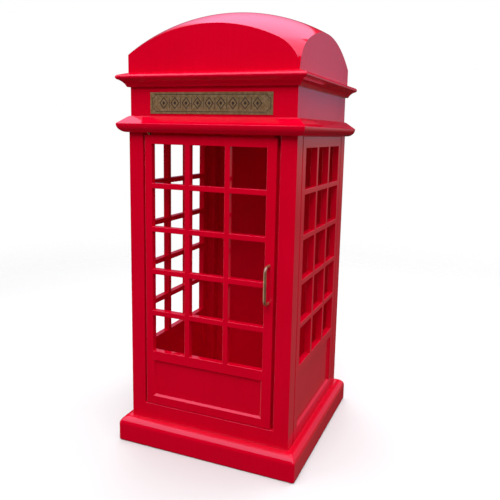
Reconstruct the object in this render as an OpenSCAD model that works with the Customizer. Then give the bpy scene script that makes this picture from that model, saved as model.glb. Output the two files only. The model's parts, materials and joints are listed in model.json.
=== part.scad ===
// Lacquered wooden telephone booth with one hinged glazing-bar door.
// Origin: centre of the footprint on the ground. Front faces -Y, +X is to the right.

/* [Body] */
// Width of the body over the corner posts
body_w = 470; // [360:5:620]
// Depth of the body over the corner posts
body_d = 470; // [360:5:620]
// Height of the top of the corner posts above the ground
body_top = 871; // [700:1:1200]
// Side of the square corner posts
post_w = 42; // [30:1:60]
// Thickness of the floor board, ceiling board and roof base
board_t = 12; // [9:1:18]
// Thickness of the back panel
back_t = 12; // [9:1:18]

/* [Plinth] */
// Height of the plinth mouldings
plinth_h = 70; // [50:1:110]
// How far the plinth stands out from the body
plinth_over = 29; // [20:1:45]
// Radius of the plinth's top edge
plinth_round = 22; // [8:1:28]
// Radius of the plinth's upright corners
plinth_corner = 5; // [2:1:10]
// Height of the cleats that back the plinth
cleat_h = 45; // [25:1:50]
// Thickness of the cleats
cleat_t = 18; // [12:1:22]

/* [Doors and windows] */
// Panes across each frame
cols = 3; // [2:1:4]
// Panes up each frame
rows = 5; // [3:1:7]
// Width of the glazing bars
bar_w = 14.5; // [8:0.5:20]
// Thickness of the door
door_t = 18; // [16:1:24]
// Thickness of the side window frames
window_t = 18; // [14:1:24]
// Height of the rail between panes and lower panel
mid_rail_h = 26.5; // [15:0.5:40]
// Height of the door's top rail
top_rail_h = 24.5; // [15:0.5:40]
// Height of the door's bottom rail
bottom_rail_h = 24; // [20:1:50]
// Height of the door's lower panel
panel_h = 106; // [60:1:180]
// Visible height of the windows' bottom rail above the plinth
window_sill_h = 31; // [15:1:50]
// Thickness of the lower panels
panel_t = 8; // [6:1:9]
// Depth of a lower panel behind the face of its frame
panel_recess = 6; // [3:1:7]
// Width of the sloping bead around a lower panel
bead_w = 7; // [4:1:14]
// Width and depth of the groove between a window frame and its posts
groove = 4; // [2:0.5:6]

/* [Door hanging] */
// Width of the door's hinge stile
hinge_stile_w = 21; // [20:0.5:40]
// Width of the door's lock stile
lock_stile_w = 25.5; // [20:0.5:40]
// Gap between the hinge stile and its post
hinge_gap = 5.5; // [4.5:0.1:8]
// Gap between the lock stile and its post
lock_gap = 9; // [3:0.5:12]
// Gap above the door
head_gap = 5; // [3:0.5:10]
// Gap under the door
sill_gap = 1.5; // [1.5:0.1:5]
// Height of the fixed rail under the door, above the plinth
sill_rise = 45.5; // [20:0.5:80]
// Radius of the pivot pins
pin_r = 3; // [2:0.1:3.2]
// Radial clearance of a pivot pin in its bush
pin_clear = 0.05; // [0.02:0.01:0.1]
// Outer radius of the pivot bushes
bush_r = 4.5; // [4:0.1:5]
// Radius of the catch magnets
magnet_r = 4; // [3:0.5:5]

/* [Handle] */
// Distance between the handle's fixing screws
handle_span = 96; // [64:1:160]
// Distance from the door's face to the centre line of the grip
handle_reach = 27; // [20:1:45]
// Radius of the handle's rod
handle_r = 4; // [3.5:0.5:6]
// Bend radius of the handle's corners
handle_bend = 14; // [8:1:18]
// Height of the handle's centre above the ground
handle_z = 503; // [300:1:700]

/* [Mouldings] */
// Height of the moulding under the frieze
moulding_h = 43; // [30:1:60]
// How far both mouldings stand out from the body
moulding_over = 25; // [15:1:35]
// Radius of the lower moulding's underside
moulding_round = 21; // [10:1:24]
// How far the frieze stands back from the posts
frieze_inset = 3.5; // [1:0.5:6]
// Height of the frieze between the two mouldings
frieze_h = 73.6; // [50:0.1:110]
// Thickness of the frieze boards
frieze_t = 16; // [12:1:20]
// Height of the cornice
cornice_h = 36.4; // [32:0.1:50]
// Radius of the cornice's round nose
nose_r = 6.5; // [4:0.5:8]

/* [Name plate] */
// Width of the name plate
plate_w = 340; // [200:5:400]
// Height of the name plate
plate_h = 54; // [35:1:60]
// Thickness of the name plate
plate_t = 1.5; // [1:0.1:3]
// Height of the plate's lower edge above the lower moulding
plate_lift = 6; // [3:0.5:10]

/* [Roof] */
// Height of the roof's upright corners
roof_wall_h = 45; // [20:1:80]
// Rise of the front arch above the corners
arch_rise = 69; // [40:1:110]
// Thickness of the arched roof boards
gable_t = 15; // [12:1:20]
// Thickness of the roof shell
dome_t = 12; // [9:1:18]
// Radius that eases the roof's front right corner
ease_r = 100; // [60:5:140]

/* [Hidden] */
$fn = 96;
eps = 0.5;             // overrun of a cutting shape past a face
rest_gap = 0.3;        // gap between the closed door and what it rests against
half_w = body_w / 2;
half_d = body_d / 2;

floor_top = plinth_h - 7;
cleat_z = floor_top - board_t - cleat_h;
opening_x = half_w - post_w;         // half the width between the front posts

sill_z = plinth_h + sill_rise;
door_z = sill_z + sill_gap;
door_top = body_top - head_gap;
door_x = -opening_x + hinge_gap;
door_w = 2 * opening_x - hinge_gap - lock_gap;
grid_z = door_z + bottom_rail_h + panel_h + mid_rail_h;
grid_h = door_top - top_rail_h - grid_z;
pane_h = (grid_h - (rows - 1) * bar_w) / rows;
door_grid_w = door_w - hinge_stile_w - lock_stile_w;
window_stile_w = (hinge_stile_w + lock_stile_w + hinge_gap + lock_gap) / 2;

pivot_x = door_x + hinge_stile_w / 2;
pivot_y = -half_d + door_t / 2;
pin_in_door = 25;
pin_in_bush = 9;
bush_depth = 10;
flange_r = 7.5;
flange_t = sill_gap - rest_gap;

stop_w = 23;
stop_t = 12;
stop_y = -half_d + door_t + rest_gap;
magnet_x = opening_x - lock_gap - 6;
magnet_t = 3;
magnet_inset = 85;                   // from the door's ends to the magnets
strike_r = magnet_r + 1;
strike_t = 1.5;

handle_x = opening_x - lock_gap - lock_stile_w / 2;
screw_r = 2;
screw_head_r = 4;
screw_head_h = 3;
screw_in_foot = 9;

frieze_z = body_top + moulding_h;
cornice_z = frieze_z + frieze_h;
roof_z = cornice_z + cornice_h;
moulding_lip = moulding_over - moulding_round;
nose_flat = 2;
cornice_lip = 3.5;
cove_r = 29;

spring_z = roof_z + roof_wall_h;
dome_drop = (half_w * half_w - arch_rise * arch_rise) / (2 * arch_rise);
dome_z = spring_z - dome_drop;       // centre of the roof's sphere
dome_r = sqrt(half_w * half_w + half_d * half_d + dome_drop * dome_drop);
total_h = dome_z + dome_r;
block_w = 20;
corner_r = sqrt(half_w * half_w + half_d * half_d);
ease_ring = corner_r - ease_r;       // the easing is part of a ring, tangent to wall and roof
ease_reach = dome_r - ease_r + 0.15;
ease_z = dome_z + sqrt(ease_reach * ease_reach - ease_ring * ease_ring);
ease_start = dome_r * ease_ring / (dome_r - ease_r);

lacquer = [0.76, 0.0, 0.11];
lacquer_inside = [0.55, 0.0, 0.08];
raw_wood = [0.72, 0.56, 0.38];
antique_brass = [0.47, 0.37, 0.25];
bright_brass = [0.75, 0.6, 0.3];
steel = [0.6, 0.6, 0.62];

// Sides of the body, counted round from the front
front = 0;
right = 1;
back = 2;
left = 3;

function face_w(side) = side % 2 == 0 ? body_w : body_d;
function face_y(side) = side % 2 == 0 ? half_d : half_w;
function window_opening() = body_d - 2 * post_w;
function window_grid_w() = window_opening() - 2 * window_stile_w;
function bar_z(row) = grid_z + row * pane_h + (row - 1) * bar_w;
function pane_w(grid_w) = (grid_w - (cols - 1) * bar_w) / cols;
function bar_x(col, grid_w) = col * pane_w(grid_w) + (col - 1) * bar_w;

// ---- Placing -------------------------------------------------------------------------

// Stands children on one side of the body: X along the face, outwards is -Y, face at y = 0
module on_side(side) {
    rotate([0, 0, 90 * side]) translate([0, -face_y(side), 0]) children();
}

// Runs a profile along one side and mitres both ends.
// Profile: x is the distance out from the body's face, y is the height.
module mitred(side, inward, outward) {
    half = face_w(side) / 2;
    run = half + outward + eps;
    on_side(side) intersection() {
        rotate([90, 0, 90]) translate([0, 0, -run]) linear_extrude(2 * run) mirror([1, 0]) children();
        linear_extrude(total_h) polygon([
            [-(half - inward), inward],
            [half - inward, inward],
            [half + outward, -outward],
            [-(half + outward), -outward]
        ]);
    }
}

module round_plan(w, d, r) {
    square([w - 2 * r, d], center = true);
    square([w, d - 2 * r], center = true);
    for (x = [-1, 1], y = [-1, 1]) translate([x * (w / 2 - r), y * (d / 2 - r)]) circle(r);
}

// ---- Plinth and floor ----------------------------------------------------------------

module plinth_profile() {
    r = min(plinth_round, plinth_over - 1);
    square([plinth_over, plinth_h - r]);
    square([plinth_over - r, plinth_h]);
    translate([plinth_over - r, plinth_h - r]) circle(r);
}

module plinth(side) color(lacquer) intersection() {
    mitred(side, 0, plinth_over) intersection() {
        plinth_profile();
        square([plinth_over, plinth_h]);
    }
    linear_extrude(plinth_h)
        round_plan(body_w + 2 * plinth_over, body_d + 2 * plinth_over, plinth_corner);
}

module plinth_front() plinth(front);
module plinth_right() plinth(right);
module plinth_back() plinth(back);
module plinth_left() plinth(left);

module base_cleats() color(raw_wood) difference() {
    for (side = [front, right, back, left]) {
        run = face_w(side) - 2 * post_w;
        on_side(side) translate([-run / 2, 0, cleat_z]) cube([run, cleat_t, cleat_h]);
    }
    floor_screw_set();
}

module floor_board() color(lacquer_inside) difference() {
    translate([-half_w, -half_d, floor_top - board_t]) cube([body_w, body_d, board_t]);
    for (x = [-1, 1], y = [-1, 1]) post_at(x, y);
    floor_screw_set();
}

// ---- Posts, sill, stop and back ------------------------------------------------------

module post_at(x, y) {
    translate([x > 0 ? half_w - post_w : -half_w, y > 0 ? half_d - post_w : -half_d, 0])
        cube([post_w, post_w, body_top]);
}

module post(x, y) color(lacquer) difference() {
    post_at(x, y);
    ceiling_screw_set();
}

module post_front_left() post(-1, -1);
module post_front_right() post(1, -1);
module post_back_left() post(-1, 1);
module post_back_right() post(1, 1);

module sill_rail() color(lacquer) difference() {
    translate([-opening_x, -half_d, floor_top]) cube([2 * opening_x, door_t, sill_z - floor_top]);
    translate([pivot_x, pivot_y, sill_z - bush_depth]) cylinder(r = bush_r, h = bush_depth + eps);
}

// Strip behind the closing edge of the door
module door_stop() color(lacquer_inside) difference() {
    translate([opening_x - stop_w, stop_y, floor_top]) cube([stop_w, stop_t, body_top - floor_top]);
    magnet_set();
}

module back_panel() color(lacquer) {
    translate([-opening_x, half_d - back_t, floor_top])
        cube([2 * opening_x, back_t, body_top - floor_top]);
}

// ---- Frames with glazing bars --------------------------------------------------------
// All are drawn with the frame's outer face at y = 0 and its grid starting at x = 0

// Halved at every crossing: the uprights are cut away behind and the cross bars in front
module uprights(grid_w, t) for (col = [1:cols - 1]) difference() {
    translate([bar_x(col, grid_w), 0, grid_z]) cube([bar_w, t, grid_h]);
    for (row = [1:rows - 1])
        translate([bar_x(col, grid_w) - eps, t / 2, bar_z(row)]) cube([bar_w + 2 * eps, t, bar_w]);
}

module cross_bars(grid_w, t) for (row = [1:rows - 1]) difference() {
    translate([0, 0, bar_z(row)]) cube([grid_w, t, bar_w]);
    for (col = [1:cols - 1])
        translate([bar_x(col, grid_w), -t / 2, bar_z(row) - eps]) cube([bar_w, t, bar_w + 2 * eps]);
}

// One sloping edge along the bottom of a panel, mitred at both ends
module bead(run) intersection() {
    rotate([90, 0, 90]) linear_extrude(run)
        polygon([[0, 0], [panel_recess, 0], [panel_recess, bead_w]]);
    translate([0, panel_recess, 0]) rotate([90, 0, 0]) linear_extrude(panel_recess)
        polygon([[0, 0], [run, 0], [run - bead_w, bead_w], [bead_w, bead_w]]);
}

// Panel whose edges slope forward to the face of its frame
module lower_panel(w, z0, z1) {
    translate([0, panel_recess, z0]) cube([w, panel_t, z1 - z0]);
    translate([0, 0, z0]) bead(w);
    translate([0, 0, z1]) mirror([0, 0, 1]) bead(w);
    translate([0, 0, z0]) mirror([1, 0, -1]) bead(z1 - z0);
    translate([w, 0, z0]) mirror([1, 0, 0]) mirror([1, 0, -1]) bead(z1 - z0);
}

// ---- Side windows --------------------------------------------------------------------

window_panel_z0 = plinth_h + window_sill_h;
window_panel_z1 = grid_z - mid_rail_h;

module in_window(side) on_side(side) translate([-window_grid_w() / 2, 0, 0]) children();

module window_stiles(side) color(lacquer) on_side(side) for (end = [0, 1]) mirror([end, 0, 0])
    difference() {
        translate([window_grid_w() / 2, 0, floor_top])
            cube([window_stile_w, window_t, body_top - floor_top]);
        translate([window_opening() / 2 - groove, -eps, plinth_h])
            cube([groove + eps, groove + eps, body_top]);
    }

module window_rails(side) color(lacquer) in_window(side) {
    for (span = [[floor_top, window_panel_z0], [window_panel_z1, grid_z], [grid_z + grid_h, body_top]])
        translate([0, 0, span[0]]) cube([window_grid_w(), window_t, span[1] - span[0]]);
}

module window_uprights(side) color(lacquer) in_window(side) uprights(window_grid_w(), window_t);

module window_bars(side) color(lacquer) in_window(side) cross_bars(window_grid_w(), window_t);

module window_panel(side) color(lacquer) in_window(side)
    lower_panel(window_grid_w(), window_panel_z0, window_panel_z1);

module left_window_stiles() window_stiles(left);
module left_window_rails() window_rails(left);
module left_window_uprights() window_uprights(left);
module left_window_bars() window_bars(left);
module left_window_panel() window_panel(left);
module right_window_stiles() window_stiles(right);
module right_window_rails() window_rails(right);
module right_window_uprights() window_uprights(right);
module right_window_bars() window_bars(right);
module right_window_panel() window_panel(right);

// ---- Head: ceiling, mouldings, frieze and cornice ------------------------------------

module inset_board(z) translate([-half_w + frieze_inset, -half_d + frieze_inset, z])
    cube([body_w - 2 * frieze_inset, body_d - 2 * frieze_inset, board_t]);

module ceiling_board() color(lacquer_inside) difference() {
    inset_board(body_top);
    translate([pivot_x, pivot_y, body_top - eps]) cylinder(r = bush_r, h = bush_depth + eps);
    ceiling_screw_set();
}

// Round underside, flat nose and sloping top
module moulding_profile() translate([0, body_top]) {
    translate([-frieze_inset, 0]) square([frieze_inset + moulding_lip, moulding_round]);
    intersection() {
        translate([moulding_lip, moulding_round]) circle(moulding_round);
        translate([moulding_lip, 0]) square(moulding_round);
    }
    polygon([
        [-frieze_inset, moulding_round],
        [moulding_over, moulding_round],
        [moulding_over, moulding_round + nose_flat],
        [1, moulding_h - 1],
        [-frieze_inset, moulding_h]
    ]);
}

module moulding(side) color(lacquer) mitred(side, frieze_inset, moulding_over) moulding_profile();

module moulding_front() moulding(front);
module moulding_right() moulding(right);
module moulding_back() moulding(back);
module moulding_left() moulding(left);

module frieze(side) color(lacquer) mitred(side, frieze_inset + frieze_t, -frieze_inset)
    translate([-frieze_inset - frieze_t, body_top + board_t])
        square([frieze_t, roof_z - 2 * board_t - body_top]);

module frieze_front() frieze(front);
module frieze_right() frieze(right);
module frieze_back() frieze(back);
module frieze_left() frieze(left);

// Small lip, hollow, round nose and sloping top
module cornice_profile() translate([0, cornice_z]) {
    nose_x = moulding_over - nose_r;
    nose_y = cornice_h - 2 * nose_r + 0.5;
    neck_y = nose_y - nose_r;
    fall = (nose_x - cornice_lip) / (neck_y - 1);
    cove_dx = cove_r / sqrt(1 + fall * fall);
    difference() {
        polygon([
            [-frieze_inset, 0],
            [cornice_lip, 0],
            [cornice_lip, 1],
            [nose_x, neck_y],
            [nose_x, nose_y + nose_r],
            [0, cornice_h],
            [-frieze_inset, cornice_h]
        ]);
        translate([(cornice_lip + nose_x) / 2 + 0.94 * cove_dx, (1 + neck_y) / 2 - 0.94 * cove_dx * fall])
            circle(cove_r);
    }
    translate([nose_x, nose_y]) circle(nose_r);
}

module cornice(side) color(lacquer) mitred(side, frieze_inset, moulding_over) cornice_profile();

module cornice_front() cornice(front);
module cornice_right() cornice(right);
module cornice_back() cornice(back);
module cornice_left() cornice(left);

// ---- Roof ----------------------------------------------------------------------------

module roof_base() color(raw_wood) inset_board(roof_z - board_t);

// What the easing takes off the front right corner
module roof_corner() rotate([0, 0, -90]) rotate_extrude(angle = 90) difference() {
    translate([ease_start, ease_z]) square([ease_r, ease_r]);
    translate([ease_ring, ease_z]) circle(ease_r);
}

// Upright board under the shell, its top cut to the underside of the shell
module gable(side) color(lacquer) difference() {
    intersection() {
        mitred(side, gable_t, 0) translate([-gable_t, roof_z]) square([gable_t, total_h - roof_z]);
        translate([0, 0, dome_z]) sphere(dome_r - dome_t);
    }
    if (side == front || side == right) roof_corner();
}

module gable_front() gable(front);
module gable_right() gable(right);
module gable_back() gable(back);
module gable_left() gable(left);

module roof_blocks() color(raw_wood) for (x = [-1, 1], y = [-1, 1])
    translate([x * (half_w - gable_t - block_w / 2), y * (half_d - gable_t - block_w / 2), roof_z])
        translate([-block_w / 2, -block_w / 2, 0]) cube([block_w, block_w, roof_wall_h * 0.8]);

// Part of a sphere that meets all four upright corners
module roof_dome() color(lacquer) difference() {
    intersection() {
        translate([-half_w, -half_d, roof_z]) cube([body_w, body_d, total_h]);
        translate([0, 0, dome_z]) sphere(dome_r);
    }
    translate([0, 0, dome_z]) sphere(dome_r - dome_t);
    roof_corner();
}

// ---- Name plate ----------------------------------------------------------------------

plate_border = 5;      // from the plate's edge to the engraved line
plate_line = 1;        // width of the engraved line
plate_cut = 0.4;       // depth of the engraved line
plate_scoop = 9;       // radius of the line's hollow corners

module scooped(inset) difference() {
    w = plate_w - 2 * inset;
    h = plate_h - 2 * inset;
    square([w, h], center = true);
    for (x = [-1, 1], y = [-1, 1])
        translate([x * (plate_w / 2 - plate_border), y * (plate_h / 2 - plate_border)])
            circle(plate_scoop + inset - plate_border);
}

module name_plate() color(antique_brass)
    translate([0, -half_d + frieze_inset, frieze_z + plate_lift + plate_h / 2]) rotate([90, 0, 0])
        difference() {
            linear_extrude(plate_t) square([plate_w, plate_h], center = true);
            translate([0, 0, plate_t - plate_cut]) linear_extrude(plate_t) difference() {
                scooped(plate_border);
                scooped(plate_border + plate_line);
            }
        }

// ---- Fixings of the body -------------------------------------------------------------

// Bush with its flange on the face towards the door
module bush() difference() {
    union() {
        translate([0, 0, -bush_depth]) cylinder(r = bush_r, h = bush_depth);
        cylinder(r = flange_r, h = flange_t);
    }
    translate([0, 0, -pin_in_bush - 1]) cylinder(r = pin_r + pin_clear, h = bush_depth + flange_t + 1);
}

module pivot_bushes() color(bright_brass) {
    translate([pivot_x, pivot_y, sill_z]) bush();
    translate([pivot_x, pivot_y, body_top]) mirror([0, 0, 1]) bush();
}

module magnet_set() for (z = [door_z + magnet_inset, door_top - magnet_inset])
    translate([magnet_x, stop_y, z]) rotate([-90, 0, 0]) cylinder(r = magnet_r, h = magnet_t);

module catch_magnets() color(steel) magnet_set();

// Countersunk screw pointing down from its head's face
module wood_screw(run) {
    translate([0, 0, -run]) cylinder(r = screw_r, h = run);
    translate([0, 0, -screw_head_h]) cylinder(r1 = screw_r, r2 = screw_head_r, h = screw_head_h);
}

module ceiling_screw_set() for (x = [-1, 1], y = [-1, 1])
    translate([x * (half_w - 25), y * (half_d - 25), body_top + board_t]) wood_screw(40);

module floor_screw_set() for (side = [front, right, back, left])
    on_side(side) translate([0, cleat_t / 2, floor_top]) wood_screw(board_t + 20);

module carcass_screws() color(steel) {
    ceiling_screw_set();
    floor_screw_set();
}

// ---- Door ----------------------------------------------------------------------------

module in_door() translate([door_x + hinge_stile_w, -half_d, 0]) children();

module door_rail(z0, z1) color(lacquer) in_door() translate([0, 0, z0])
    cube([door_grid_w, door_t, z1 - z0]);

module door_hinge_stile() color(lacquer) difference() {
    translate([door_x, -half_d, door_z]) cube([hinge_stile_w, door_t, door_top - door_z]);
    pin_set();
}

module door_lock_stile() color(lacquer) difference() {
    translate([opening_x - lock_gap - lock_stile_w, -half_d, door_z])
        cube([lock_stile_w, door_t, door_top - door_z]);
    handle_screw_set();
    strike_set();
}

module door_top_rail() door_rail(grid_z + grid_h, door_top);
module door_mid_rail() door_rail(grid_z - mid_rail_h, grid_z);
module door_bottom_rail() door_rail(door_z, door_z + bottom_rail_h);
module door_uprights() color(lacquer) in_door() uprights(door_grid_w, door_t);
module door_bars() color(lacquer) in_door() cross_bars(door_grid_w, door_t);

module door_panel() color(lacquer) in_door()
    lower_panel(door_grid_w, door_z + bottom_rail_h, grid_z - mid_rail_h);

module pin_set() {
    translate([pivot_x, pivot_y, sill_z - pin_in_bush])
        cylinder(r = pin_r, h = pin_in_bush + sill_gap + pin_in_door);
    translate([pivot_x, pivot_y, door_top - pin_in_door])
        cylinder(r = pin_r, h = pin_in_door + head_gap + pin_in_bush);
}

module pivot_pins() color(bright_brass) pin_set();

// Bow handle of round rod with a threaded hole in each foot
module door_handle() color(antique_brass) difference() {
    translate([handle_x, -half_d, handle_z]) {
        straight = handle_span / 2 - handle_bend;
        foot = handle_reach - handle_bend;
        translate([0, -handle_reach, -straight]) cylinder(r = handle_r, h = 2 * straight);
        for (end = [0, 1]) mirror([0, 0, end]) {
            translate([0, 0, handle_span / 2]) rotate([90, 0, 0]) cylinder(r = handle_r, h = foot);
            translate([0, -foot, straight]) rotate([90, 0, -90]) rotate_extrude(angle = 90)
                translate([handle_bend, 0]) circle(handle_r);
        }
    }
    handle_screw_set();
}

module handle_screw_set() for (end = [-1, 1])
    translate([handle_x, -half_d + door_t, handle_z + end * handle_span / 2]) rotate([90, 0, 0]) {
        cylinder(r = screw_r, h = door_t + screw_in_foot);
        cylinder(r = screw_head_r, h = screw_head_h);
    }

module handle_screws() color(steel) handle_screw_set();

module strike_set() for (z = [door_z + magnet_inset, door_top - magnet_inset])
    translate([magnet_x, -half_d + door_t, z]) rotate([90, 0, 0]) cylinder(r = strike_r, h = strike_t);

module strike_discs() color(steel) strike_set();

// ---- Output --------------------------------------------------------------------------

plinth_front();
plinth_right();
plinth_back();
plinth_left();
base_cleats();
floor_board();
post_front_left();
post_front_right();
post_back_left();
post_back_right();
sill_rail();
door_stop();
back_panel();
left_window_stiles();
left_window_rails();
left_window_uprights();
left_window_bars();
left_window_panel();
right_window_stiles();
right_window_rails();
right_window_uprights();
right_window_bars();
right_window_panel();
ceiling_board();
moulding_front();
moulding_right();
moulding_back();
moulding_left();
frieze_front();
frieze_right();
frieze_back();
frieze_left();
cornice_front();
cornice_right();
cornice_back();
cornice_left();
roof_base();
gable_front();
gable_right();
gable_back();
gable_left();
roof_blocks();
roof_dome();
name_plate();
pivot_bushes();
catch_magnets();
carcass_screws();
door_hinge_stile();
door_lock_stile();
door_top_rail();
door_mid_rail();
door_bottom_rail();
door_uprights();
door_bars();
door_panel();
door_handle();
handle_screws();
strike_discs();
pivot_pins();
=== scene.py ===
import json
import math

import bmesh
import bpy
from bpy.props import (
    FloatProperty,
    FloatVectorProperty,
    IntProperty,
    PointerProperty,
)
from mathutils import Matrix, Quaternion, Vector

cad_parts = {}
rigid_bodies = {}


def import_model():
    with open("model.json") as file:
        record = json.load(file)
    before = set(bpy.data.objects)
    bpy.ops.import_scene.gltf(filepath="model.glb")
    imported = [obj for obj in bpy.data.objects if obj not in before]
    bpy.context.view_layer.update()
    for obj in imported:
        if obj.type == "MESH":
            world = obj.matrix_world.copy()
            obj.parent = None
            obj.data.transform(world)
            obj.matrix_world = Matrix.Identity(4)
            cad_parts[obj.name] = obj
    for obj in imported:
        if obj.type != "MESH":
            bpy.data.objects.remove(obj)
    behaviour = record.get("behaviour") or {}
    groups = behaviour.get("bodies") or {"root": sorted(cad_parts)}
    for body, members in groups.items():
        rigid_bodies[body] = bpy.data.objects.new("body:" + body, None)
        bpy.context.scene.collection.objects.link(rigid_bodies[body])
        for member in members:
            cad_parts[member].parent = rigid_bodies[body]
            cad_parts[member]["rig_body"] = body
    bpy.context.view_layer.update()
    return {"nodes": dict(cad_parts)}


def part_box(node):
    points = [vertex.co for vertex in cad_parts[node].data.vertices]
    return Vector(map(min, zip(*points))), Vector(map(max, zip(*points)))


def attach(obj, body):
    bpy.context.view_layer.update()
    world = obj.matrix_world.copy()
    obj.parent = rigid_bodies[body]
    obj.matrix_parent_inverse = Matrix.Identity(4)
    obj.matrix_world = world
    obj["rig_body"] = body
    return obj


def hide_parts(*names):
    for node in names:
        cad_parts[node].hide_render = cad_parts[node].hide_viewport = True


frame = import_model()

bl_info = {
    "name": "Lacquered Telephone Booth",
    "version": (1, 0, 0),
    "blender": (4, 5, 0),
    "location": "3D View > Sidebar > Booth",
    "description": "Builds a wooden telephone booth around its joinery",
    "category": "Object",
}

UP = Vector((0, 0, 1))
SIDES = ("front", "right", "back", "left")
SHARP = math.radians(30)  # an edge that turns more than this is eased
CREASE = math.radians(38)  # an edge that turns more than this stays crisp in the shading
NEAR = 1e-5  # places closer than this count as one
WELD = 1e-6  # points closer than this are merged
BEYOND = 1  # far enough to be outside the booth


# ---- What a user would change --------------------------------------------------------


class BoothSizes(bpy.types.PropertyGroup):
    """Sizes of the woodwork and fittings that the joinery leaves open."""

    arris: FloatProperty(
        name="Arris",
        description="Radius of an eased edge under the lacquer",
        default=0.0013,
        min=0.0003,
        max=0.003,
        unit="LENGTH",
    )
    hairline: FloatProperty(
        name="Hairline",
        description="Width of the eased edges where two boards meet",
        default=0.0003,
        min=0.0001,
        max=0.001,
        unit="LENGTH",
    )
    columns: IntProperty(name="Columns", description="Panes across a frame", default=3, min=2)
    rows: IntProperty(name="Rows", description="Panes up a frame", default=5, min=2)
    bead: FloatProperty(
        name="Bead",
        description="Width of the sloping edge of a lower panel",
        default=0.007,
        unit="LENGTH",
    )
    panel_recess: FloatProperty(
        name="Panel recess",
        description="Depth of a lower panel behind its frame",
        default=0.006,
        unit="LENGTH",
    )
    groove: FloatProperty(
        name="Groove",
        description="Width and depth of the groove between a side frame and its posts",
        default=0.004,
        unit="LENGTH",
    )
    plinth_round: FloatProperty(
        name="Plinth round",
        description="Radius of the plinth's top edge",
        default=0.022,
        unit="LENGTH",
    )
    plinth_corner: FloatProperty(
        name="Plinth corner",
        description="Radius of the plinth's upright corners and lower edge",
        default=0.005,
        unit="LENGTH",
    )
    moulding_round: FloatProperty(
        name="Moulding round",
        description="Radius of the lower moulding's underside",
        default=0.021,
        unit="LENGTH",
    )
    nose: FloatProperty(
        name="Cornice nose",
        description="Radius of the cornice's round nose",
        default=0.0065,
        unit="LENGTH",
    )
    cove: FloatProperty(
        name="Cornice hollow",
        description="Radius of the hollow under the cornice's nose",
        default=0.029,
        unit="LENGTH",
    )
    arch_rise: FloatProperty(
        name="Arch rise",
        description="Rise of each arch above the roof's corners",
        default=0.069,
        unit="LENGTH",
    )
    roof_shell: FloatProperty(
        name="Roof shell",
        description="Thickness of the roof shell",
        default=0.012,
        unit="LENGTH",
    )
    roof_ease: FloatProperty(
        name="Roof easing",
        description="Radius that eases the roof's front right corner",
        default=0.1,
        unit="LENGTH",
    )
    handle_bend: FloatProperty(
        name="Handle bend",
        description="Radius of the handle's bends, on the rod's centre line",
        default=0.014,
        unit="LENGTH",
    )


class BoothColours(bpy.types.PropertyGroup):
    """Colours of the finishes."""

    lacquer: FloatVectorProperty(
        name="Lacquer", description="Red gloss lacquer", subtype="COLOR", default=(0.74, 0.0, 0.021)
    )
    # Lighter red for the arrises: partly rubbed-thin film, partly a painted highlight.
    lacquer_thin_and_sheen: FloatVectorProperty(
        name="Thin lacquer and edge sheen",
        description="Lacquer thin along the edges, lightened there as a painted highlight",
        subtype="COLOR",
        default=(0.95, 0.015, 0.05),
    )
    lacquer_deep: FloatVectorProperty(
        name="Deep lacquer",
        description="Lacquer where the film is thicker",
        subtype="COLOR",
        default=(0.64, 0.0, 0.016),
    )
    brass: FloatVectorProperty(
        name="Aged brass", description="Aged brass", subtype="COLOR", default=(0.28, 0.19, 0.072)
    )
    brass_rubbed: FloatVectorProperty(
        name="Rubbed brass",
        description="Brass where the ageing has rubbed off",
        subtype="COLOR",
        default=(0.58, 0.44, 0.21),
    )
    handle_brown: FloatVectorProperty(
        name="Handle brown",
        description="Browned brass of the handle",
        subtype="COLOR",
        default=(0.34, 0.18, 0.10),
    )
    engraving: FloatVectorProperty(
        name="Engraving",
        description="Dark filling of the engraved lines",
        subtype="COLOR",
        default=(0.018, 0.013, 0.008),
    )
    softwood: FloatVectorProperty(
        name="Softwood", description="Bare softwood", subtype="COLOR", default=(0.56, 0.37, 0.19)
    )
    sky: FloatVectorProperty(
        name="Sky", description="Colour of the mirrored sky", subtype="COLOR", default=(0.76, 0.66, 1.0)
    )
    floor: FloatVectorProperty(
        name="Floor", description="Studio floor", subtype="COLOR", default=(0.72, 0.73, 0.745)
    )


class BoothStudio(bpy.types.PropertyGroup):
    """Camera and lights."""

    azimuth: FloatProperty(
        name="Azimuth",
        description="Angle of the camera round the booth, from straight in front",
        default=math.radians(21.93),
        subtype="ANGLE",
    )
    elevation: FloatProperty(
        name="Elevation",
        description="Angle by which the camera looks down",
        default=math.radians(9.20),
        subtype="ANGLE",
    )
    roll: FloatProperty(
        name="Roll",
        description="Tilt of the camera",
        default=math.radians(1.26),
        subtype="ANGLE",
    )
    station: FloatVectorProperty(
        name="Station",
        description="Place of the camera",
        subtype="TRANSLATION",
        default=(0.659, -1.529, 0.878),
    )
    lens: FloatProperty(
        name="Lens", description="Focal length in millimetres", default=41.12, min=10
    )
    shift_across: FloatProperty(
        name="Shift across", description="Sideways shift of the lens", default=-0.0152
    )
    shift_up: FloatProperty(name="Shift up", description="Upward shift of the lens", default=-0.0504)
    overhead: FloatProperty(
        name="Overhead light", description="Power of the light overhead", default=92.0, unit="POWER"
    )
    front: FloatProperty(
        name="Front light", description="Power of the light in front", default=42.0, unit="POWER"
    )
    side: FloatProperty(
        name="Side light", description="Power of the light behind right", default=15.0, unit="POWER"
    )
    horizon_sky: FloatProperty(
        name="Low sky", description="Brightness of the mirrored sky low down", default=0.22, min=0
    )
    top_sky: FloatProperty(
        name="High sky", description="Brightness of the mirrored sky overhead", default=2.7, min=0
    )
    wall: FloatProperty(
        name="Wall", description="Brightness of the mirrored wall behind right", default=0.55, min=0
    )


def sizes():
    return bpy.context.scene.booth_sizes


def colours():
    return bpy.context.scene.booth_colours


# ---- Shader groups -------------------------------------------------------------------


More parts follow.
